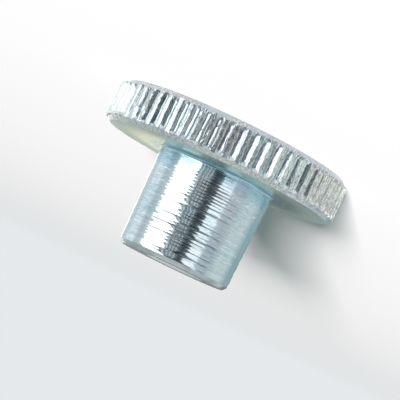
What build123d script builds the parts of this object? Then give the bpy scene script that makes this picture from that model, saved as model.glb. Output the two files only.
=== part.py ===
from build123d import *
import math
import os

# Knurled thumb nut, high form, turned from steel bar. All sizes are in millimetres and degrees.
# It stands on the flat face of its head, at z = 0. The bore runs along Z and the collar points up.

# Head: the disc that the fingers turn.
head_diameter = 20.0            # over the crests of the knurl
head_thickness = 3.5            # from the flat face to the shoulder round the collar
face_chamfer = 0.5              # 45 degrees, between the flat face and the rim
shoulder_chamfer = 0.45         # 45 degrees, between the rim and the shoulder

# Knurl: straight grooves that a toothed wheel presses into the rim.
knurl_pitch = 1.0               # from crest to crest, round the rim
groove_depth = 0.35
groove_angle = 90.0             # between the two flanks of a groove
groove_root_radius = 0.06       # the wheel's teeth are a little blunt

# Collar: the plain shank that bears on the work. The tool leaves it slightly tapered.
collar_length = 8.35            # from the shoulder to the end face
collar_root_diameter = 9.8      # where it meets the shoulder
collar_end_diameter = 9.4
collar_fillet = 0.25            # in the corner at the shoulder
collar_end_chamfer = 0.3        # 45 degrees, at the end face

# Thread: metric coarse, through the whole nut. The solid holds the bore drilled for the tap.
thread_diameter = 5.0
thread_pitch = 0.8
countersink_margin = 0.15       # how far each 90 degree countersink opens past the thread's crests

head_radius = head_diameter / 2
nut_height = head_thickness + collar_length
bore_radius = (thread_diameter - thread_pitch) / 2
countersink_depth = thread_diameter / 2 + countersink_margin - bore_radius
groove_count = round(math.pi * head_diameter / knurl_pitch)


def corner(section, radius, height):
    """The corner of a section that lies nearest to a radius and a height."""
    return section.vertices().sort_by_distance((radius, height, 0))[0]


def turned_blank():
    """The nut as it leaves the lathe: one section, revolved about the bore's axis."""
    with BuildPart() as blank:
        with BuildSketch(Plane.XZ) as section:
            with BuildLine():
                Polyline(
                    (bore_radius, 0),
                    (head_radius, 0),
                    (head_radius, head_thickness),
                    (collar_root_diameter / 2, head_thickness),
                    (collar_end_diameter / 2, nut_height),
                    (bore_radius, nut_height),
                    close=True,
                )
            make_face()
            chamfer(corner(section, head_radius, 0), face_chamfer)
            chamfer(corner(section, head_radius, head_thickness), shoulder_chamfer)
            chamfer(corner(section, collar_end_diameter / 2, nut_height), collar_end_chamfer)
            chamfer(corner(section, bore_radius, 0), countersink_depth)
            chamfer(corner(section, bore_radius, nut_height), countersink_depth)
            fillet(corner(section, collar_root_diameter / 2, head_thickness), collar_fillet)
        revolve(axis=Axis.Z)
    return blank.part


def groove_section():
    """One groove seen along the axis: a V with a blunt tip, open past the rim on its +X side."""
    mouth = groove_depth            # the V runs on outwards by its own depth, clear of the rim
    half_width = (groove_depth + mouth) * math.tan(math.radians(groove_angle / 2))
    with BuildSketch() as groove:
        with BuildLine():
            Polyline((-groove_depth, 0), (mouth, -half_width), (mouth, half_width), close=True)
        make_face()
        fillet(corner(groove, -groove_depth, 0), groove_root_radius)
    return groove.sketch


def knurl_grooves():
    """Every groove of the knurl, the length of the rim, so that each runs out in the chamfers."""
    with BuildPart() as grooves:
        with BuildSketch():
            with PolarLocations(head_radius, groove_count, start_angle=180 / groove_count):
                add(groove_section())
        extrude(amount=head_thickness)
    return grooves.part


knurled_nut = turned_blank() - knurl_grooves()

os.makedirs("parts", exist_ok=True)
export_step(knurled_nut, "parts/knurled_nut.step")
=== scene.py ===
# %% [markdown]
# # A knurled nut in bright zinc plate
#
# The part is a thumb nut: a thin disc with a knurled rim on a plain collar, turned from one steel
# bar, tapped through and zinc plated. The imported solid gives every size. This script puts a finely
# modelled skin in its place, which has what the lathe, the knurling wheel and the tap leave behind.
# The knurl, the thread and the turning are all real shape in the mesh. Only the grain that is finer
# than its points is left to the material.

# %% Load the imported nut
import math

import bpy
import numpy as np
from mathutils import Matrix, Vector


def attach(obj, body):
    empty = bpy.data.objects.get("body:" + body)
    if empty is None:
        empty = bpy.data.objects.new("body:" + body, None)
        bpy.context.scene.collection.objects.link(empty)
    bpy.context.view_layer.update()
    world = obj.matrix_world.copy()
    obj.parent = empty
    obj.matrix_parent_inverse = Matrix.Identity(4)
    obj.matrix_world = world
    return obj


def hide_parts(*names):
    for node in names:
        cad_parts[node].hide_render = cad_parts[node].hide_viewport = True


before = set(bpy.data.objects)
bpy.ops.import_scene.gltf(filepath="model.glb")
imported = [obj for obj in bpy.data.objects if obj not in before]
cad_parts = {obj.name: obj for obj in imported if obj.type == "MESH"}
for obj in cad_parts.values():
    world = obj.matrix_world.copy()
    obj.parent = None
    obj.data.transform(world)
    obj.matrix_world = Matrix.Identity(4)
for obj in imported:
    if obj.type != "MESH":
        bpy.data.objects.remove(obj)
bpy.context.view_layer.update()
MM = 0.001                       # metres in a millimetre

# %% [markdown]
# ## Measure the solid
#
# A turned part is known by its section: a list of radii and heights. The solid's corner points hold
# them, so each size below is read from those points, and follows the solid if it ever changes.

# %% Read the section's radii and heights
corner_points = np.array([v.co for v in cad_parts["knurled_nut"].data.vertices]) / MM
radii = np.hypot(corner_points[:, 0], corner_points[:, 1])
heights = corner_points[:, 2]
HAIR = 0.004                     # mm, closer than this counts as the same place
HEAD_FROM, RIM_FROM = 0.7, 0.9   # shares of the radius from which a point is on the head, on its rim


def radii_at(height):
    """The radii of the points that lie in one plane."""
    return radii[np.abs(heights - height) < HAIR]


rim_radius = radii.max()
nut_height = heights.max()
shoulder_height = heights[radii > HEAD_FROM * rim_radius].max()
flat_radius = radii_at(0).max()
mouth_radius = radii_at(0).min()
shoulder_radius = radii_at(shoulder_height).max()
fillet_radius = radii_at(shoulder_height).min()
end_radius = radii_at(nut_height).max()
bore_radius = radii.min()
print("rim", rim_radius, "height", nut_height, "shoulder", shoulder_height, shoulder_radius)
print("flat", flat_radius, "mouth", mouth_radius, "fillet", fillet_radius, "end", end_radius)

# %% Read the collar
collar = (heights > shoulder_height + HAIR) & (heights < nut_height - HAIR) & (radii > end_radius)
wall_height = heights[collar].max()
wall_radius = radii[collar & (heights > wall_height - HAIR)].max()
next_height = heights[collar & (heights < wall_height - HAIR)].max()
next_radius = radii[collar & (np.abs(heights - next_height) < HAIR)].max()
taper = (next_radius - wall_radius) / (wall_height - next_height)
on_taper = np.abs(radii - wall_radius - taper * (wall_height - heights)) < HAIR
root_height = heights[collar & on_taper].min()
root_radius = radii[collar & on_taper].max()
print("collar", root_radius, root_height, "to", wall_radius, wall_height)

# %% Read the knurl
on_rim = (radii > RIM_FROM * rim_radius) & (heights > HAIR) & (heights < shoulder_height - HAIR)
groove_radius = radii[on_rim].min()
angles = np.arctan2(corner_points[:, 1], corner_points[:, 0])
gaps = np.diff(np.sort(angles[radii > rim_radius - HAIR]))     # the wide ones lie across grooves
tooth_count = int(np.sum(gaps > gaps.max() / 2)) + 1
pitch_angle = 2 * math.pi / tooth_count
crest_width = (pitch_angle - gaps.max()) * rim_radius
print("teeth", tooth_count, "groove radius", groove_radius, "crest width", crest_width)

# %% [markdown]
# ## A skin made of rings
#
# A lathe makes everything from circles about one axis, so the skin is made in the same way: one
# closed ring of points after another, from the flat face, up the rim, in over the shoulder, up the
# collar and down the bore, back to the start. Each ring can wander off its true circle, as the real
# cuts do. The rim needs twelve points to a tooth, the collar three and the depth of the bore one. At
# its mouths the bore is as fine as the collar, so that the thread runs out cleanly. Rings of
# different counts are joined by small fans of triangles, so one count has to divide the other.
# Cutting the grooves and the thread with booleans would work too, but it leaves long thin triangles
# that spoil a mirror finish. Rings give an even, closed mesh with every edge where it belongs.

# %% Ring counts and the helper that collects rings
TOOTH_POINTS = 12                # as many as the places listed for one tooth below
RIM_POINTS = tooth_count * TOOTH_POINTS
COLLAR_POINTS = tooth_count * 3
BORE_POINTS = tooth_count
TURNED, FACED, PARTED, KNURLED, TAPPED = range(5)   # how each stretch of the skin was cut
rng = np.random.default_rng(466)                    # seeded, so that each run is the same
rings = []


def round_angles(count):
    """Even angles round the axis. The first lies in the middle of a knurl groove."""
    return (np.arange(count) / count) * 2 * math.pi - pitch_angle / 2


def add_ring(radius, height, cut, film, angles=round_angles(COLLAR_POINTS), worn=0.5):
    """Keeps one ring. The cut is that of the stretch from this ring to the next one."""
    radius = np.broadcast_to(radius, angles.shape)
    height = np.broadcast_to(height, angles.shape)
    film = np.broadcast_to(film, angles.shape)
    worn = np.broadcast_to(worn, angles.shape)
    points = np.stack([radius * np.cos(angles), radius * np.sin(angles), height], axis=-1)
    rings.append((points, cut, film, worn))


def wander(count, points, waves):
    """Closed, smooth random curves, one to a row, about 1 high."""
    angles = round_angles(points)
    curve = np.zeros((count, points))
    for wave in range(1, waves + 1):
        swing = rng.normal(size=(count, 2, 1))
        curve += swing[:, 0] * np.cos(wave * angles) + swing[:, 1] * np.sin(wave * angles)
    return curve / math.sqrt(waves)


# %% [markdown]
# ## The passivation film
#
# Bright zinc is dipped in a clear blue passivate. Its film is only a few hundred nanometres thick,
# and as it grows its colour runs from blue through pale grey and sea green to straw, as oil on water
# does. It could be painted as an image, but that needs the skin unfolded and a large file. Here
# each point of the skin keeps a film number from 0 to 1, and the material turns it into a colour.
# Painting by thickness also keeps the colours in their true order wherever two areas meet.

# %% Film numbers of the faces
FILM_CORNER_SHADE = 0.0                # the fillet: blue film, darkened as painted shade of the corner
FILM_HEAD_END = 0.13             # the first millimetre of the collar, which stays bluer
FILM_COLLAR = 0.27
FILM_KNURL = 0.38
FILM_END = 0.47                  # the chamfers of the collar's end and of the flat face
FILM_FACE = 0.56                 # the flat face, the end face, the head's upper chamfer, the thread
FILM_GREEN = 0.68                # the shoulder
FILM_STRAW = 0.86                # its inner half on one side, where the film is thickest

# %% [markdown]
# ## The flat face of the head
#
# The nut stands on this face. It was cut off the bar and faced, so it carries fine rings. A bump in
# the material could draw them, but real steps of two thousandths of a millimetre cost only a few
# rings and hold from every side.

# %% Rings of the flat face
FACING_DEPTH = 0.002             # mm, from the top to the foot of a facing ring
FACE_RINGS = 16
add_ring(mouth_radius, 0, PARTED, FILM_FACE)
for step in range(1, FACE_RINGS):
    sink = FACING_DEPTH * (step % 2)
    radius = mouth_radius + (flat_radius - mouth_radius) * step / FACE_RINGS
    add_ring(radius, sink, PARTED, FILM_FACE)
print("rings of the flat face:", len(rings))

# %% [markdown]
# ## The knurl
#
# A knurling wheel pushes V grooves into the rim, and the steel that it pushes aside rises along the
# edges of each tooth and spills over the chamfers at its ends. No two teeth come out quite alike, so
# copying one tooth round the rim would look like a gear. Instead every column of points has its own
# radius. Its run up the rim is laid out between the places where that radius meets the two
# chamfers, so each groove runs out with a clean edge.

# %% Shape of one tooth, seen along the axis
pitch = pitch_angle * rim_radius
edge = crest_width / 2
tooth_places = np.array([-pitch / 2, -0.41, -0.31, -0.22, -edge - 0.02, -edge + 0.03, 0,
                         edge - 0.03, edge + 0.02, 0.22, 0.31, 0.41])      # mm from a crest's middle
FLANK_ANGLES = (45.0, 40.0)      # degrees: the wheel's drag leaves one flank of a tooth less steep
CREST_SINK = 0.030               # mm that the worn middle of a crest lies below the rim
LIP_SINK = 0.012                 # mm that the raised edges of a crest lie below it
RUBBED_REACH, RUBBED_BLUR = 0.24, 0.06     # mm from a crest's middle to the end of its rubbed part
on_crest = np.clip((RUBBED_REACH - np.abs(tooth_places)) / RUBBED_BLUR, 0, 1)
steepness = np.where(tooth_places < 0, *np.tan(np.radians(FLANK_ANGLES)))
flank_depth = np.clip(np.abs(tooth_places) - edge, 0, None) * steepness
flank_depth[0] = flank_depth[1]            # the blunt tip of the wheel leaves a flat root
crest_hollow = (CREST_SINK - LIP_SINK) * np.clip(1 - (tooth_places / (edge - 0.02)) ** 2, 0, 1)
print("tooth: crest", round(crest_width, 3), "mm, deepest", round(flank_depth.max(), 3), "mm")

# %% Columns of the rim, and the steps along it
tooth = np.repeat(np.arange(tooth_count), TOOTH_POINTS)
places = np.tile(tooth_places, tooth_count)
crest = np.tile(on_crest, tooth_count)
groove = (tooth + (places > 0)) % tooth_count
band_length = shoulder_height - (rim_radius - flat_radius) - (rim_radius - shoulder_radius)
ENDS = np.array([0, 0.05, 0.11, 0.18, 0.26])       # mm: close steps where the grooves fade out
MIDDLE_FROM, MIDDLE_STEPS = 0.36, 15               # and wider ones between
middle = np.linspace(MIDDLE_FROM, band_length - MIDDLE_FROM, MIDDLE_STEPS)
along = np.concatenate([ENDS, middle, band_length - ENDS[::-1]])
shares = along / band_length
print("columns:", RIM_POINTS, "steps along the rim:", len(along), "over mm:", round(band_length, 2))


# %% Two kinds of unevenness: a value for each tooth, and dents
def by_tooth(spread, controls):
    """A random value for each step and column, the same across a tooth and smooth along it."""
    values = rng.normal(scale=spread, size=(tooth_count, controls))
    where = np.linspace(0, 1, controls)
    return np.array([np.interp(shares, where, row) for row in values]).T[:, tooth]


LEAST_SIZE, LEAST_DENT = 0.4, 0.3          # the least dents, as shares of the greatest


def pits(count, deepest, widest):
    """Small dents scattered over the rim: a depth in mm for each step and column."""
    depth = np.zeros((len(along), RIM_POINTS))
    around = (tooth * pitch + places)[None, :]
    for _ in range(count):
        size = widest * rng.uniform(LEAST_SIZE, 1)
        off_along = along[:, None] - rng.uniform(0, band_length)
        off_around = around - rng.uniform(0, tooth_count * pitch)
        bell = np.exp(-(off_along ** 2 + off_around ** 2) / size ** 2)
        depth += deepest * rng.uniform(LEAST_DENT, 1) * bell
    return depth


# %% How the grooves run out, and how the crests lean
RUN_OUT = 0.34                   # mm over which a groove fades out at its ends
LEAST_FILL, MOST_FILL = 0.35, 0.75         # how far pushed-up steel closes a groove's very end
from_end = np.minimum(along, band_length - along)[:, None]
fade = np.clip(1 - from_end / RUN_OUT, 0, 1) ** 2
fill = rng.uniform(LEAST_FILL, MOST_FILL, size=tooth_count)[groove] * fade
CREST_LEAN = -0.11               # the wheel drags each crest a little to one side
LEAN_SPREAD = 0.05               # and no two alike
tilt = (CREST_LEAN + by_tooth(LEAN_SPREAD, 2)) * places * crest
print("lean of the crests, degrees:", round(math.degrees(math.atan(CREST_LEAN)), 1))

# %% The rim's surface
GRIT, FLANK_GRIT = 0.007, 0.3    # mm: torn and pressed spots, and the share of it on the flanks
STREAK = 0.009                   # mm: lines that run along a crest
DIP = 0.008                      # mm that a tooth dips here and there along its length
SWAY = 0.018                     # mm that it sways sideways
DENTS = 450                      # about seven to a tooth, many too small to tell from the grit
DENT_DEEPEST, DENT_WIDEST = 0.03, 0.11     # mm
grit = rng.normal(scale=GRIT, size=(len(along), RIM_POINTS))
grit *= FLANK_GRIT + (1 - FLANK_GRIT) * crest
grit += rng.normal(scale=STREAK, size=RIM_POINTS) * crest
rim_depth = np.tile(flank_depth, tooth_count) * (1 - fill) + LIP_SINK
rim_depth += np.tile(crest_hollow, tooth_count) + tilt + grit
rim_depth += np.abs(by_tooth(DIP, 8)) + pits(DENTS, DENT_DEEPEST, DENT_WIDEST)
rim_radii = np.minimum(rim_radius - rim_depth, rim_radius - HAIR)
rim_angles = tooth * pitch_angle + (places + by_tooth(SWAY, 6)) / rim_radius
print("rim radii, mm:", round(rim_radii.min(), 3), "to", round(rim_radii.max(), 3))

# %% [markdown]
# ## Wear on the rim
#
# Nuts rub against each other in the plating barrel and in the box. The crests take it, and more so
# on one side of this nut: there the zinc is duller, grainier and has lost some of its blue. The
# shader could guess worn places from how sharply the mesh bends, but here the crests and the side
# are known, so each point simply keeps a wear number, as it keeps a film number.

# %% Where the rim is rubbed
RUBBED_SIDE = math.radians(-160)
towards = np.cos(rim_angles - RUBBED_SIDE)                     # 1 on the rubbed side, -1 opposite
rubbed = 0.65 + 0.35 * np.tanh(4 * (towards + 0.12))           # a third to all, in a soft step
rim_wear = (0.2 + 0.8 * crest) * rubbed                        # the flanks take a fifth of it
bare = np.clip((towards - 0.855) / 0.105, 0, 1)                # within 30 degrees the blue goes too
rim_film = FILM_KNURL + (FILM_FACE - FILM_KNURL) * bare
print("wear of the rim:", round(rim_wear.min(), 2), "to", round(rim_wear.max(), 2))

# %% [markdown]
# ## Chamfers and burrs
#
# Each edge of the disc was broken with a chamfer before knurling. The wheel then squeezed a little
# steel out over the teeth's ends, which catches the light as a row of bright nibs. They could be
# small pieces of their own, but growing them from the same columns keeps the skin in one piece.

# %% A chamfer with the burrs on it
CHAMFER_SHARES = (0, 0.12, 0.35, 0.65, 1)  # of the way down the chamfer
BURR = 0.15                      # mm that a tooth's end spills over a chamfer, at most
BURR_FADE = 2.4                  # it is gone after 1 / 2.4 of the chamfer
BULGE = 0.25                     # and swells outwards by this share of itself, over its first third


def chamfer_rings(step, edge_radius, edge_height, way, least):
    """Rings from the end of the teeth down a 45 degree chamfer, with a burr on each tooth."""
    burr = BURR * rng.uniform(least, 1, tooth_count)[tooth] * crest
    for share in CHAMFER_SHARES:
        radius = rim_radii[step] + (edge_radius - rim_radii[step]) * share
        spill = burr * max(0, 1 - BURR_FADE * share)
        bulge = BULGE * burr * math.sin(math.pi * min(1, 3 * share))
        height = edge_height - way * (radius - edge_radius - spill)
        yield np.minimum(radius + bulge, rim_radius - HAIR), height


# %% Rings of the two chamfers and the rim
EDGE_SAG = 0.02                  # mm that the shoulder's edge is rubbed down
CHAMFER_WEAR = 0.6
low_rings = list(chamfer_rings(0, flat_radius, 0, -1, least=0.0))
high_rings = list(chamfer_rings(-1, shoulder_radius, shoulder_height - EDGE_SAG, 1, least=0.3))
for radius, height in reversed(low_rings):
    add_ring(radius, height, KNURLED, FILM_END, rim_angles[0], CHAMFER_WEAR)
low_end, high_end = low_rings[0][1], high_rings[0][1]
for step in range(1, len(along) - 1):
    height = low_end + (high_end - low_end) * shares[step]
    add_ring(rim_radii[step], height, KNURLED, rim_film[step], rim_angles[step], rim_wear[step])
for radius, height in high_rings:
    add_ring(radius, height, KNURLED, FILM_FACE, rim_angles[-1], CHAMFER_WEAR)
print("rings up to the shoulder:", len(rings))

# %% [markdown]
# ## The shoulder and its corner
#
# The underside of the head was faced towards the collar, and the tool's round nose left a fillet in
# the corner. Shallow rings give the face its satin look, and the film is thickest here. As the nut
# hung after its dip, the dip ran together on one side of the collar and left a straw patch. The
# outer part of the face has rubbed against other nuts and is duller than the part by the collar.
# Both are soft runs between a few places on the way in, which is simpler than a painted mask.

# %% Film and wear across the shoulder, by shares of the way in from its edge
GREEN_AT, GREEN_RUN = (0, 0.12, 0.8, 1), (FILM_FACE, FILM_GREEN, FILM_GREEN, FILM_HEAD_END)
STRAW_AT, STRAW_RUN = (0.35, 0.5, 0.8, 1), (0, 1, 1, 0)
DRAINED_SIDE = math.radians(20)            # the middle of the side where the dip ran together
drained = 0.5 + 0.5 * np.cos(round_angles(COLLAR_POINTS) - DRAINED_SIDE)
DULL, DULL_FROM = 0.35, 0.65               # wear by the collar, and where it starts to grow to 1
print("film on the shoulder, at most:", FILM_STRAW, "at degrees:", round(math.degrees(DRAINED_SIDE)))

# %% Rings of the shoulder
SHOULDER_FEED = 0.14             # mm from ring to ring, about twice a real facing feed
LEAST_RING, MOST_RING = 0.7, 2.3           # their depths, as shares of the flat face's rings
EDGE_REACH = 1.0                 # mm in from the edge over which the face is rubbed down
SHOULDER_STEPS = 2 * round((shoulder_radius - fillet_radius) / SHOULDER_FEED)
for step in range(1, SHOULDER_STEPS):
    share = step / SHOULDER_STEPS
    radius = shoulder_radius + (fillet_radius - shoulder_radius) * share
    straw = (FILM_STRAW - FILM_GREEN) * np.interp(share, STRAW_AT, STRAW_RUN) * drained
    film = np.interp(share, GREEN_AT, GREEN_RUN) + straw
    sink = FACING_DEPTH * rng.uniform(LEAST_RING, MOST_RING) * (step % 2)
    sink += EDGE_SAG * max(0, 1 - (shoulder_radius - radius) / EDGE_REACH) ** 2
    worn = DULL + (1 - DULL) * max(0, 1 - share / DULL_FROM)
    add_ring(radius, shoulder_height - sink, FACED, film, worn=worn)
print("rings up to the fillet:", len(rings))

# %% Rings of the fillet
FILLET_STEPS = 8
fillet = fillet_radius - root_radius
for step in range(FILLET_STEPS):
    turn = math.pi / 2 * step / FILLET_STEPS
    radius = fillet_radius - fillet * math.sin(turn)
    height = shoulder_height + (root_height - shoulder_height) * (1 - math.cos(turn))
    # Mid-fillet the film number falls to the corner's darker blue: partly film tint, partly painted
    # shade.
    film = FILM_HEAD_END + (FILM_CORNER_SHADE - FILM_HEAD_END) * math.sin(2 * turn)
    add_ring(radius, height, FACED, film, worn=DULL)
print("fillet, mm:", round(fillet, 3))

# %% [markdown]
# ## The turned collar
#
# A pointed tool moves along by its feed at each turn of the bar and leaves a fine screw of shallow
# scallops. Each is a short arc of the tool's nose, a hundredth of a millimetre deep, and the bar's
# small shakes set every one a little higher, lower or askew. These scallops spread a reflection
# along the axis and leave its edges serrated. A brushed shader would only blur it, so the scallops
# are cut for real. The screw is so flat that closed rings do for it.

# %% Depth and place of each scallop
FEED = 0.25                      # mm from turn to turn, up to twice a real one, so the mesh holds it
SCALLOP = 0.0105                 # mm deep
SHAKE, SHAKE_WAVES = 0.003, 14   # mm that a turn wanders, and how often it may do so on its way round
OFFSET = 0.008                   # mm that a whole turn lies high or low
feeds = round((wall_height - root_height) / FEED)
shake = SHAKE * wander(feeds + 1, COLLAR_POINTS, SHAKE_WAVES)
offset = OFFSET * rng.normal(size=feeds + 1)
UNEVEN, LEAST_CUT, MOST_CUT = 0.5, 0.2, 1.7          # spread and limits of the scallops' depths
depths = SCALLOP * np.clip(1 + UNEVEN * rng.normal(size=feeds + 1), LEAST_CUT, MOST_CUT)
SMOOTH_FEEDS = 6                 # the first turns by the head, where the tool slowed and dwelt
LEAST_START, GROWTH = 0.1, 1.5   # where their depth starts, and how slowly it grows to full
growing = np.clip(np.arange(feeds + 1) / SMOOTH_FEEDS, LEAST_START, 1) ** GROWTH
depths *= growing
offset *= growing
SCORE_PLACE, SCORE_DEPTH = 0.7, 0.025      # one deeper line, where the tool was held up
offset[round(SCORE_PLACE * feeds)] = -SCORE_DEPTH
lie = offset[:, None] + shake
print("turns on the collar:", feeds, "deepest scallop, mm:", round(depths.max(), 4))

# %% Rings of the collar
SCALLOP_STEPS = 5
HEAD_END = 1.4                   # mm over which the film grows to its thickness on the collar
for turn in range(feeds):
    for part in range(SCALLOP_STEPS):
        share = part / SCALLOP_STEPS
        height = root_height + (wall_height - root_height) * (turn + share) / feeds
        true_radius = wall_radius + taper * (wall_height - height)
        shift = lie[turn] * (1 - share) + lie[turn + 1] * share
        hollow = depths[turn] * 4 * share * (1 - share)
        from_head = min(1, (height - root_height) / HEAD_END)
        film = FILM_HEAD_END + (FILM_COLLAR - FILM_HEAD_END) * from_head ** 2
        add_ring(true_radius - hollow + shift - SCALLOP, height, TURNED, film)
print("rings up to the collar's end:", len(rings))

# %% [markdown]
# ## The collar's end
#
# The far end got a small chamfer with the same tool. Its flat ring was faced like the other end, a
# little more coarsely. It is made the same way as that one, with a depth drawn for each ring.

# %% Rings of the collar's end
add_ring(wall_radius - SCALLOP, wall_height, PARTED, FILM_END)
add_ring((wall_radius + end_radius) / 2, (wall_height + nut_height) / 2, PARTED, FILM_END)
END_STEPS = 12
for step in range(END_STEPS):
    radius = end_radius + (mouth_radius - end_radius) * step / END_STEPS
    sink = FACING_DEPTH * rng.uniform(LEAST_RING, MOST_RING) * (step % 2)
    add_ring(radius, nut_height - sink, PARTED, FILM_FACE)
print("flat ring of the end, mm wide:", round(end_radius - mouth_radius, 2))

# %% [markdown]
# ## The thread
#
# The solid holds only the hole drilled for the tap. Here the tap has cut its M5 thread: a 60 degree
# V with a flat root, wound up the bore, cut off at both mouths by the countersinks. A screw modifier
# could wind it, but its ends would have to be trimmed. Here the wall of each row lies at the thread
# or at the countersink, whichever is further out, so the thread runs out by itself.

# %% Rings of the threaded bore
THREAD_PITCH = 0.8               # mm, metric coarse for M5
THREAD_DEPTH = 0.4
ROOT_FLAT = THREAD_PITCH / 8
FLANK = THREAD_DEPTH * math.tan(math.radians(30))
FINE_ROWS, COARSE_ROWS = 20, 8   # rows to a pitch of thread, near the mouths and deep inside
FINE_LENGTH = 1.8                # mm from each mouth that has the fine rows


def thread_radius(angles, height):
    """Radius of the tapped wall at each angle, at one height."""
    turn = np.mod(height / THREAD_PITCH - angles / (2 * math.pi), 1)
    from_root = np.abs(turn - 0.5) * THREAD_PITCH - ROOT_FLAT / 2
    return bore_radius + THREAD_DEPTH * np.clip(1 - from_root / FLANK, 0, 1)


fine = np.arange(0, FINE_LENGTH, THREAD_PITCH / FINE_ROWS)
deep = np.arange(FINE_LENGTH, nut_height - FINE_LENGTH, THREAD_PITCH / COARSE_ROWS)
for height in np.concatenate([nut_height - fine, nut_height - deep, fine[:0:-1]]):
    near_mouth = min(height, nut_height - height) < FINE_LENGTH
    bore_angles = round_angles(COLLAR_POINTS if near_mouth else BORE_POINTS)
    countersink = mouth_radius - min(height, nut_height - height)
    radius = np.maximum(thread_radius(bore_angles, height), countersink)
    add_ring(radius, height, TAPPED, FILM_FACE, bore_angles)
print("all rings:", len(rings))

# %% [markdown]
# ## Sew the rings together
#
# Two rings of the same count are joined by four-sided faces. Where the counts differ, each point of
# the coarse ring opens a fan to its share of the fine one. The last ring is sewn to the first, so
# the skin is closed like the solid. The bridge tool does the same between two loops at a time. A
# list of faces does it for all rings at once and knows how each face was cut.

# %% Faces between two rings
def strip(first, first_count, second, second_count):
    """Faces between two rings, given where each starts in the list of points."""
    coarse = min(first_count, second_count)
    share = max(first_count, second_count) // coarse
    faces = []
    for j in range(coarse):
        after = (j + 1) % coarse
        if share == 1:
            faces.append((first + j, first + after, second + after, second + j))
            continue
        coarse_start = first if first_count == coarse else second
        fine_start = second if first_count == coarse else first
        fine = [fine_start + (share * j + k) % (share * coarse) for k in range(share + 1)]
        near, far = coarse_start + j, coarse_start + after
        middle = share // 2
        fan = [(near, fine[k + 1], fine[k]) for k in range(middle)]
        fan.append((near, far, fine[middle]))
        fan += [(far, fine[k + 1], fine[k]) for k in range(middle, share)]
        faces += fan if first_count == coarse else [face[::-1] for face in fan]
    return faces


# %% Sew all the rings
points = np.concatenate([ring[0] for ring in rings]) * MM
starts = np.cumsum([0] + [len(ring[0]) for ring in rings])
faces, cuts = [], []
for index, (ring_points, cut, film, worn) in enumerate(rings):
    following = (index + 1) % len(rings)
    sewn = strip(starts[index], len(ring_points), starts[following], len(rings[following][0]))
    faces += sewn
    cuts += [cut] * len(sewn)
print("points:", len(points), "faces:", len(faces))

# %% The nut's mesh
SHARP_ANGLE = 34                 # degrees: edges that turn by more than this stay crisp
mesh = bpy.data.meshes.new("knurled_nut_skin")
mesh.from_pydata(points.tolist(), [], [tuple(int(i) for i in face) for face in faces])
mesh.polygons.foreach_set("material_index", cuts)
mesh.polygons.foreach_set("use_smooth", [True] * len(faces))
mesh.set_sharp_from_angle(angle=math.radians(SHARP_ANGLE))
for name, part in (("film", 2), ("worn", 3)):
    layer = mesh.attributes.new(name, "FLOAT", "POINT")
    layer.data.foreach_set("value", np.concatenate([ring[part] for ring in rings]))
nut = bpy.data.objects.new("nut_skin", mesh)
bpy.context.scene.collection.objects.link(nut)
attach(nut, "root")
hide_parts("knurled_nut")
triangles = sum(len(face) - 2 for face in faces)
print("nut skin triangles:", triangles)

# %% [markdown]
# ## Colours and nodes
#
# Every colour below is written as a hex code, as it would look on a screen, and turned into the
# linear light that the renderer mixes. Materials are trees of nodes. One helper adds a node with its
# settings and links in one call, which keeps a recipe readable from top to bottom.

# %% Helpers for materials
def colour(code):
    """A hex colour such as C8D4DA as linear light, with alpha."""
    parts = [int(code[i:i + 2], 16) / 255 for i in (0, 2, 4)]
    return [p / 12.92 if p <= 0.04045 else ((p + 0.055) / 1.055) ** 2.4 for p in parts] + [1]


def add_node(tree, kind, settings=None, inputs=None):
    """Adds a node, sets its properties, and sets or links its inputs."""
    node = tree.nodes.new(kind)
    for name, value in (settings or {}).items():
        setattr(node, name, value)
    for name, value in (inputs or {}).items():
        if isinstance(value, bpy.types.NodeSocket):
            tree.links.new(value, node.inputs[name])
        else:
            node.inputs[name].default_value = value
    return node


def plain_material(name):
    """An empty material, ready for nodes."""
    material = bpy.data.materials.new(name)
    material.use_nodes = True
    material.node_tree.nodes.clear()
    return material


# %% [markdown]
# ## Bright zinc, five ways
#
# The plating is the same all over, but it follows the steel under it: along the collar it shows the
# turning, on the faces the facing rings, on the rim the rolled steel, in the bore the tap's marks.
# One recipe makes all five. Zinc plate is a metal, so its colour is its reflection. The film gives
# the tint, and a fine grain, stretched the way the tool went, breaks the reflection up. Where parts
# have rubbed, the crystals of the zinc are pressed flat or torn, so worn places are rougher and have
# darker specks. Sizes are in millimetres. The grain is coarser than the crystals of real zinc,
# which are a hundredth of a millimetre at most, so that it still shows from arm's length. An
# image of a real plate could be laid on instead, but it would repeat and not follow the cuts.

# %% Grain and film
BLOTCH = 3.0                     # mm: the film drifts a little in patches of this size
DRIFT, MOTTLE = 0.4, 0.3         # how far the patches and the grain move the film number
CENTRE = (DRIFT + MOTTLE) / 2    # their mean, taken off again
# The first stop, the darkest blue, is the fillet's: film tint with painted shade of the corner.
FILM_STOPS = [(0.0, "94B2C2"), (0.13, "A6C8D6"), (0.27, "D0DDE2"), (0.38, "C8D6DC"), (0.47, "BCC0C6"),
              (0.56, "CED3D5"), (0.68, "CCDACE"), (0.86, "DEDEC6"), (1.0, "D8D0C0")]


def stretched_grain(tree, place, size, stretch, rings):
    """Noise with grains of one size, drawn out along the tool's way. With rings it depends on the
    distance from the axis, so that it runs round a flat face."""
    flat_place = add_node(tree, "ShaderNodeVectorMath", {"operation": "MULTIPLY"}, {
        0: place, 1: (1, 1, 0)})
    out = add_node(tree, "ShaderNodeVectorMath", {"operation": "LENGTH"}, {0: flat_place.outputs[0]})
    ringed = add_node(tree, "ShaderNodeVectorMath", {"operation": "SCALE"}, {
        0: (0, 0, rings), "Scale": out.outputs["Value"]})
    stretched = add_node(tree, "ShaderNodeVectorMath", {"operation": "MULTIPLY_ADD"}, {
        0: place, 1: stretch, 2: ringed.outputs[0]})
    grain = add_node(tree, "ShaderNodeTexNoise", {}, {
        "Vector": stretched.outputs[0], "Scale": 1 / (size * MM), "Detail": 4.0})
    return grain.outputs["Fac"]


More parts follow.
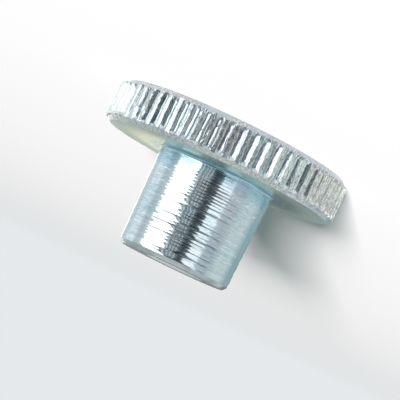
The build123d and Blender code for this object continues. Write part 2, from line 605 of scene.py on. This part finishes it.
def film_colour(tree, place, grain):
    """The film's tint: its number on the skin, moved a little by patches and by the grain."""
    patches = add_node(tree, "ShaderNodeTexNoise", {}, {
        "Vector": place, "Scale": 1 / (BLOTCH * MM), "Detail": 3.0})
    film = add_node(tree, "ShaderNodeAttribute", {"attribute_name": "film"})
    drift = add_node(tree, "ShaderNodeMath", {"operation": "MULTIPLY_ADD"}, {
        0: patches.outputs["Fac"], 1: DRIFT, 2: film.outputs["Fac"]})
    mottle = add_node(tree, "ShaderNodeMath", {"operation": "MULTIPLY_ADD"}, {
        0: grain, 1: MOTTLE, 2: drift.outputs[0]})
    level = add_node(tree, "ShaderNodeMath", {"operation": "SUBTRACT"}, {
        0: mottle.outputs[0], 1: CENTRE})
    tint = add_node(tree, "ShaderNodeValToRGB", {}, {"Fac": level.outputs[0]})
    ramp = tint.color_ramp
    while len(ramp.elements) < len(FILM_STOPS):
        ramp.elements.new(0.5)
    for element, (where, code) in zip(ramp.elements, FILM_STOPS):
        element.position = where
        element.color = colour(code)
    return tint.outputs["Color"]


# %% The zinc recipe
SPECK_DARK, SPECK_CLEAR = 0.40, 0.56       # grain below the first is a dark speck, above is clean
WHITE = "FFFFFF"


def zinc(name, grain_size, grain_height, stretch, rough, worn_rough=None,
         least=1.0, specks=0.0, rings=0.0, edge_code=WHITE):
    """Bright zinc with a stretched grain. Worn places are rougher, grainier and darkly specked. The
    least is how much of the grain unworn places keep; the edge code tints it at low angles."""
    material = plain_material(name)
    tree = material.node_tree
    place = add_node(tree, "ShaderNodeTexCoord").outputs["Object"]
    worn = add_node(tree, "ShaderNodeAttribute", {"attribute_name": "worn"}).outputs["Fac"]
    grain = stretched_grain(tree, place, grain_size, stretch, rings)
    dark = add_node(tree, "ShaderNodeMapRange", {}, {
        "Value": grain, "From Min": SPECK_DARK, "From Max": SPECK_CLEAR,
        "To Min": -specks, "To Max": 0.0})
    speck = add_node(tree, "ShaderNodeMath", {"operation": "MULTIPLY_ADD"}, {
        0: dark.outputs[0], 1: worn, 2: 1.0})
    specked = add_node(tree, "ShaderNodeVectorMath", {"operation": "MULTIPLY"}, {
        0: film_colour(tree, place, grain), 1: speck.outputs[0]})
    roughness = add_node(tree, "ShaderNodeMapRange", {}, {
        "Value": worn, "To Min": rough, "To Max": worn_rough or rough})
    force = add_node(tree, "ShaderNodeMapRange", {}, {"Value": worn, "To Min": least, "To Max": 1.0})
    bump = add_node(tree, "ShaderNodeBump", {}, {
        "Height": grain, "Distance": grain_height * MM, "Strength": force.outputs[0]})
    shader = add_node(tree, "ShaderNodeBsdfPrincipled", {}, {
        "Base Color": specked.outputs[0], "Metallic": 1.0, "Roughness": roughness.outputs[0],
        "Specular Tint": colour(edge_code), "Normal": bump.outputs["Normal"]})
    add_node(tree, "ShaderNodeOutputMaterial", {}, {"Surface": shader.outputs[0]})
    return material


# %% Zinc for each way of cutting, in the order of their numbers
ROUND = (0.13, 0.13, 1)          # grain drawn out round the collar
FACE = (0.06, 0.06, 1)           # grain drawn out along the rings of a face
STRAIGHT = (1, 1, 0.35)          # grain drawn out along the teeth
EVEN = (1, 1, 1)
finishes = [
    # The smoothest skin. Its fine lines round the collar fray the edges of light and dark bands.
    zinc("turned_zinc", 0.07, 0.0028, ROUND, rough=0.11, specks=0.20),
    # Satin, with faint rings, duller towards the rubbed edge and a hair greener at low angles.
    zinc("faced_zinc", 0.10, 0.0030, FACE, rough=0.19, worn_rough=0.42, specks=0.15, rings=1.0,
         edge_code="F6FDFA"),
    # Coarser rings and more specks, so the two ends look cut off and quickly faced.
    zinc("parted_zinc", 0.16, 0.0040, FACE, rough=0.24, specks=0.40, rings=1.0),
    # Crests that sparkle and look bruised, flanks that stay clean enough to mirror the room.
    zinc("knurled_zinc", 0.14, 0.050, STRAIGHT, rough=0.17, worn_rough=0.26, least=0.45, specks=0.36),
    # A soft sheen without streaks, so the thread reads by its shape.
    zinc("tapped_zinc", 0.08, 0.0020, EVEN, rough=0.30),
]
for finish in finishes:
    mesh.materials.append(finish)
print("finishes:", [finish.name for finish in finishes])

# %% [markdown]
# ## The floor
#
# The nut stands on white paper that is much larger than itself. Close by, the paper takes a shadow.
# Further off it melts into an even white, which a curved backdrop would do as well, with more to
# build. Mirror-bright metal doesn't see the paper, because the cards below give every reflection.

# %% The paper
BACKDROP = "E6E9EB"              # the white behind everything, a little cool
PAPER = "FAFBFB"
FLOOR_HALF = 8.0                 # metres
MATT_TO, EVEN_FROM = 0.14, 0.7   # metres from the nut over which the paper melts into the backdrop
floor_mesh = bpy.data.meshes.new("floor")
floor_mesh.from_pydata([(-FLOOR_HALF, -FLOOR_HALF, 0), (FLOOR_HALF, -FLOOR_HALF, 0),
                        (FLOOR_HALF, FLOOR_HALF, 0), (-FLOOR_HALF, FLOOR_HALF, 0)],
                       [], [(0, 1, 2, 3)])
floor = bpy.data.objects.new("floor", floor_mesh)
bpy.context.scene.collection.objects.link(floor)
floor.visible_glossy = False
floor.visible_shadow = False
paper = plain_material("white_paper")
tree = paper.node_tree
place = add_node(tree, "ShaderNodeTexCoord").outputs["Object"]
distance = add_node(tree, "ShaderNodeVectorMath", {"operation": "LENGTH"}, {0: place})
far_off = add_node(tree, "ShaderNodeMapRange", {"interpolation_type": "SMOOTHSTEP"}, {
    "Value": distance.outputs["Value"], "From Min": MATT_TO, "From Max": EVEN_FROM})
seen = add_node(tree, "ShaderNodeLightPath").outputs["Is Camera Ray"]
glow = add_node(tree, "ShaderNodeEmission", {}, {"Color": colour(BACKDROP), "Strength": seen})
matt = add_node(tree, "ShaderNodeBsdfDiffuse", {}, {"Color": colour(PAPER)})
both = add_node(tree, "ShaderNodeMixShader", {}, {
    0: far_off.outputs[0], 1: matt.outputs[0], 2: glow.outputs[0]})
add_node(tree, "ShaderNodeOutputMaterial", {}, {"Surface": both.outputs[0]})
floor_mesh.materials.append(paper)
print("paper, metres across:", 2 * FLOOR_HALF)

# %% [markdown]
# ## The room
#
# What the eye and the metal see of the room is the white backdrop. What lights the paper, beside the
# lamp, is a dimmer, cool fill, which decides how dark and how blue the shadow is. Lamps all round
# could give the same fill, but the world does it evenly and without noise.

# %% The backdrop and the fill
FILL_CODE, FILL_LEVEL = "CCE4E0", 0.30
world = bpy.data.worlds.new("studio")
bpy.context.scene.world = world
world.use_nodes = True
tree = world.node_tree
tree.nodes.clear()
path = add_node(tree, "ShaderNodeLightPath")                   # seen directly, in metal or in glass
shown = add_node(tree, "ShaderNodeMath", {"operation": "MAXIMUM"}, {
    0: path.outputs["Is Camera Ray"], 1: path.outputs["Is Glossy Ray"]})
shown = add_node(tree, "ShaderNodeMath", {"operation": "MAXIMUM"}, {
    0: shown.outputs[0], 1: path.outputs["Is Transmission Ray"]})
fill = add_node(tree, "ShaderNodeBackground", {}, {
    "Color": colour(FILL_CODE), "Strength": FILL_LEVEL})
sky = add_node(tree, "ShaderNodeBackground", {}, {"Color": colour(BACKDROP), "Strength": 1.0})
both = add_node(tree, "ShaderNodeMixShader", {}, {
    0: shown.outputs[0], 1: fill.outputs[0], 2: sky.outputs[0]})
add_node(tree, "ShaderNodeOutputWorld", {}, {"Surface": both.outputs[0]})
print("backdrop", BACKDROP, "fill", FILL_CODE, "at", FILL_LEVEL)

# %% [markdown]
# ## The camera
#
# A long lens looks at the nut from a little higher than the nut is tall, so the shoulder shows as a
# thin ellipse. The camera is rolled over by most of half a turn: the head is at the top of the frame
# and the collar hangs down to the left. The nut could be turned instead, but it has to stand as the
# solid does, so the camera moves round it.

# %% The camera
NUT_MIDDLE = Vector((0, 0, nut_height / 2)) * MM
CAMERA_AZIMUTH = -1.4            # degrees from the front
CAMERA_RISE = 18.08              # mm above the floor
CAMERA_AWAY = 159.3              # mm from the bore's axis
AXIS_TURN = 25.6                 # degrees that the camera's roll falls short of half a turn
AIM_UP = 0.16                    # mm that the aim lies above the middle of the nut
AIM_SIDE = -0.26                 # mm that it lies to the camera's right of the axis
LENS, SENSOR = 179.9, 36         # mm
NEAREST = 0.001                  # metres


def outward(azimuth):
    """The level direction from the axis towards an azimuth, in degrees."""
    turn = math.radians(azimuth)
    return Vector((math.sin(turn), -math.cos(turn), 0))


camera_data = bpy.data.cameras.new("camera")
camera_data.lens = LENS
camera_data.sensor_width = SENSOR
camera_data.clip_start = NEAREST
camera = bpy.data.objects.new("camera", camera_data)
bpy.context.scene.collection.objects.link(camera)
bpy.context.scene.camera = camera
camera.location = (outward(CAMERA_AZIMUTH) * CAMERA_AWAY + Vector((0, 0, CAMERA_RISE))) * MM
camera_right = outward(CAMERA_AZIMUTH - 90)      # upside down, so its right is the other way
aim = NUT_MIDDLE + (camera_right * AIM_SIDE + Vector((0, 0, AIM_UP))) * MM
look = (aim - camera.location).normalized()
level = look.cross(Vector((0, 0, 1))).normalized()
above = level.cross(look)
turned = Matrix.Rotation(math.radians(180 - AXIS_TURN), 3, look)
upright = Matrix((level, above, -look)).transposed()
camera.rotation_euler = (turned @ upright).to_euler()
print("camera to aim, mm:", round((aim - camera.location).length / MM, 1))

# %% [markdown]
# ## Cards round the nut
#
# Metal shows what stands round it, so the nut's bright and dark bands are made with cards, as in a
# product studio. Area lamps could stand in for them, but a card can have soft sides, a colour, and a
# level that changes from foot to top. It is a plain glow that only reflections see, so it lights
# nothing else and casts no shadow. Angles are counted from the camera towards its right, so negative
# ones are to its left. Where two cards overlap, the nearer one covers the other. The walls of the
# collar mirror what stands level with them. Cards named low are for the halves of its scallops that
# face down.

# %% Helpers that make cards
def glowing(name, corners, faces, levels, cover, code):
    """Makes a card: a plain glow that only reflections see, thinning out where its cover does."""
    made_mesh = bpy.data.meshes.new(name)
    made_mesh.from_pydata([tuple(corner) for corner in corners], [], faces)
    for layer_name, values in (("level", levels), ("cover", cover)):
        layer = made_mesh.attributes.new(layer_name, "FLOAT", "POINT")
        layer.data.foreach_set("value", values)
    made = bpy.data.objects.new(name, made_mesh)
    for way in ("visible_camera", "visible_diffuse", "visible_shadow", "visible_transmission"):
        setattr(made, way, False)
    surface = plain_material(name)
    tree = surface.node_tree
    strength = add_node(tree, "ShaderNodeAttribute", {"attribute_name": "level"}).outputs["Fac"]
    solid = add_node(tree, "ShaderNodeAttribute", {"attribute_name": "cover"}).outputs["Fac"]
    glow = add_node(tree, "ShaderNodeEmission", {}, {"Color": colour(code), "Strength": strength})
    clear = add_node(tree, "ShaderNodeBsdfTransparent")
    thinned = add_node(tree, "ShaderNodeMixShader", {}, {
        0: solid, 1: clear.outputs[0], 2: glow.outputs[0]})
    add_node(tree, "ShaderNodeOutputMaterial", {}, {"Surface": thinned.outputs[0]})
    made_mesh.materials.append(surface)
    bpy.context.scene.collection.objects.link(made)
    print("card:", name, "colour", code, "points", len(corners))


CARD_STEP = 3                    # degrees from edge to edge of a curved card, at most


def card(name, away, foot, top, low, high, level, code, soft=0.0):
    """A curved card at a distance in mm. Its foot and top run between two angles each, in degrees
    to the camera's right, at two heights in mm. Its sides may be soft, over some degrees, and its
    level may change from foot to top."""
    foot_level, top_level = np.broadcast_to(level, 2)
    width = max(foot[1] - foot[0], top[1] - top[0])
    steps = max(2, math.ceil(width / CARD_STEP))
    corners, levels, cover = [], [], []
    for i in range(steps + 1):
        share = i / steps
        thin = min(1.0, min(share, 1 - share) * width / soft) if soft else 1.0
        for ends_at, height, strength in ((foot, low, foot_level), (top, high, top_level)):
            angle = ends_at[0] + (ends_at[1] - ends_at[0]) * share
            corners.append((outward(CAMERA_AZIMUTH - angle) * away + Vector((0, 0, height))) * MM)
            levels.append(strength)
            cover.append(thin)
    quads = [(2 * i, 2 * i + 2, 2 * i + 3, 2 * i + 1) for i in range(steps)]
    glowing(name, corners, quads, levels, cover, code)


def disc(name, height, radius, level, code):
    """A level round card over or under the nut, in mm."""
    sides = 48                   # enough to look round in a curved mirror
    turns = [2 * math.pi * i / sides for i in range(sides)]
    rim = [(radius * math.cos(t) * MM, radius * math.sin(t) * MM, height * MM) for t in turns]
    glowing(name, rim, [tuple(range(sides))], [level] * sides, [1.0] * sides, code)


LOW, HIGH = -150, 150            # mm: foot and top of the cards that stand full height

# %% The key light, which draws the collar's white band, and the pale wall on its side
card("key_glow", 300, (-69, -23), (-83, -39), -110, 64, 2.6, WHITE)
card("key_skirt", 299, (-43, -24), (-42, -26), -46, -26, 0.36, "C8D6DA", soft=3)
card("left_wall", 322, (-180, -60), (-180, -60), LOW, HIGH, 0.88, "EEF4F6")
card("left_pale", 320, (-138, -98), (-138, -98), -110, 110, (0.85, 1.4), "F4F8FA", soft=10)
card("left_gap", 319, (-104, -84), (-100, -84), -110, 110, (0.70, 1.00), "E4ECF0", soft=6)
card("left_back", 318, (-182, -160), (-182, -160), LOW, HIGH, 1.75, "FAF7EA")

# %% The dim front with the dark gap of the lens, which draws the collar's dark band
card("dim_card", 307, (-42, 20), (-47, 14), LOW, HIGH, 0.38, "C8D4D8")
card("dark_card", 304, (-8, 37), (0, 11), -25, 6, (0.04, 0.16), "B8C8D0", soft=4)
card("dark_high", 304, (-2, 11), (-1, 11), 6, HIGH, 0.16, "B8C8D0", soft=4)
card("dark_low", 304, (-16, 6), (-16, 6), -60, -25, 0.05, "B8C8C8", soft=3)
card("dusk_low", 305, (2, 18), (2, 18), -60, -25, 0.11, "B8C8C8", soft=3)
card("half_card", 306, (18, 41), (13, 33), LOW, HIGH, 0.40, "D4DCDE")

# %% Thin bars and a strip, which draw the fine white lines inside the dark band
card("bar_1", 295, (-27, -24), (-33, -30), -26, 100, 1.1, WHITE)
card("bar_2", 295, (-19, -17), (-23, -21), -26, 100, 1.0, WHITE)
card("bar_3", 295, (-13, -11), (-16, -14), -26, 100, 1.1, WHITE)
card("bar_4", 295, (-7, -6), (-7.5, -6.5), -26, 100, 1.6, WHITE)
card("strip_glow", 50, (18, 42), (9, 34), 2.5, 26, 1.35, WHITE)
card("dash_low", 303, (34, 72), (30, 68), -75, -45, 0.34, "C8D4D8", soft=8)

# %% The pale side on the right, a little bluer further round
card("grey_card", 310, (44, 84), (36, 78), LOW, HIGH, 0.82, "ECEAEE", soft=14)
card("right_card", 316, (66, 180), (58, 180), -110, 110, (0.78, 1.08), "ECF4F2")
# The far card, dimmer and bluer, is a painted stand-in for paper in shadow behind the nut's right
# side.
card("right_far", 314, (108, 182), (108, 182), LOW, 60, 0.68, "C8E2E8", soft=24)

# %% Low papers close by, which light the grooves of the knurl a few at a time
NEAR, FLECK_AWAY, NEAR_FOOT = 20, 19.9, -5           # mm
FLECK_TOP, PAPER_TOP = 1.6, 2.2                      # mm: so low that the collar doesn't see them
card("paper_left", NEAR, (-180, -80), (-180, -80), NEAR_FOOT, PAPER_TOP, 1.6, "FFFDF4")
card("paper_mid", NEAR, (31, 66), (31, 66), NEAR_FOOT, PAPER_TOP, 0.62, "F4F4EC", soft=3)
card("paper_fleck_1", FLECK_AWAY, (35, 39), (35, 39), NEAR_FOOT, FLECK_TOP, 1.4, "FAFAE8", soft=1)
card("paper_fleck_2", FLECK_AWAY, (43, 47), (43, 47), NEAR_FOOT, FLECK_TOP, 3.2, "FAFAE8", soft=1)
card("paper_fleck_3", FLECK_AWAY, (50, 54), (50, 54), NEAR_FOOT, FLECK_TOP, 2.8, "FAFAE8", soft=1)
card("paper_fleck_4", FLECK_AWAY, (57, 60), (57, 60), NEAR_FOOT, FLECK_TOP, 3.2, "FAFAE8", soft=1)
# One low card further off, for the collar
card("pale_low", 302, (25, 42), (25, 42), -60, -25, 0.75, "F2F4F4", soft=4)
# Near ones again, further round to the right
card("paper_right_1", NEAR, (78, 85), (78, 85), NEAR_FOOT, FLECK_TOP, 3.6, "F6F8E8", soft=2)
card("paper_right_2", NEAR, (91, 97), (91, 97), NEAR_FOOT, FLECK_TOP, 3.0, "F6F8E8", soft=2)
card("paper_right_3", NEAR, (104, 135), (104, 135), NEAR_FOOT, PAPER_TOP, 1.5, "F6F8E8", soft=3)

# %% Behind the nut: two dim blue cards, a painted shadow on paper, which the shoulder mirrors, and a grey one for the collar's end
card("shade_outer", 60, (146, 170), (146, 170), -8, 13.4, 0.62, "98D0DC", soft=9)
card("shade_inner", 60, (168, 184), (168, 184), -8, 13.4, 0.14, "80C4DC", soft=2)
card("behind_end", 60, (150, 196), (150, 196), 13.4, 60, 0.40, "D4DEE4")

# %% High glints for rounded edges and burrs, the dome, and a pale disc for the lower chamfer
card("glint_left", 309, (-95, -35), (-95, -35), 230, 420, 1.4, "F8F8F4", soft=6)
card("glint_right", 309, (15, 115), (15, 115), 230, 420, 1.8, "F8F8F4", soft=6)
card("front_high", 310, (-80, 80), (-80, 80), HIGH, 700, 0.38, "B0CCDC")
card("all_round_high", 325, (-180, 180), (-180, 180), HIGH, 700, 0.85, "E2ECEC")
disc("ceiling", 690, 320, 0.95, "ECF2F0")
disc("under_floor", -15, 60, 1.15, "F4F6F6")

# %% [markdown]
# ## The lamp
#
# One soft lamp stands low, well behind the camera and a little to its side, and rakes across the
# paper. It throws the nut's shadow back behind it, so that only its edge shows in the crook beside
# the collar. A lamp from above would be more usual, but it would put a shadow all round the foot.
# The metal doesn't see this lamp.

# %% The lamp that rakes the floor
LAMP_WIDE, LAMP_HIGH = 0.38, 0.26          # metres: its size sets how soft the shadow's edge is
LAMP_POWER, LAMP_CODE = 1800.0, "FFF5F7"   # watts
RAKE_AZIMUTH, RAKE_RISE = 5.4, 3.3         # degrees round from the camera, and up from the floor
RAKE_AWAY = 3.5                            # metres
raking_data = bpy.data.lights.new("raking_lamp", "AREA")
raking_data.shape = "RECTANGLE"
raking_data.size, raking_data.size_y = LAMP_WIDE, LAMP_HIGH
raking_data.energy = LAMP_POWER
raking_data.color = colour(LAMP_CODE)[:3]
raking = bpy.data.objects.new("raking_lamp", raking_data)
bpy.context.scene.collection.objects.link(raking)
raking.location = (outward(CAMERA_AZIMUTH + RAKE_AZIMUTH)
                   + Vector((0, 0, math.tan(math.radians(RAKE_RISE))))) * RAKE_AWAY
raking.rotation_euler = (NUT_MIDDLE - raking.location).to_track_quat("-Z", "Y").to_euler()
raking.visible_glossy = False
print("lamp, metres:", [round(v, 2) for v in raking.location])

# %% [markdown]
# ## Finish
#
# The plain Standard view lays no film look over the colours.

# %% Set the plain view
bpy.context.scene.view_settings.view_transform = "Standard"
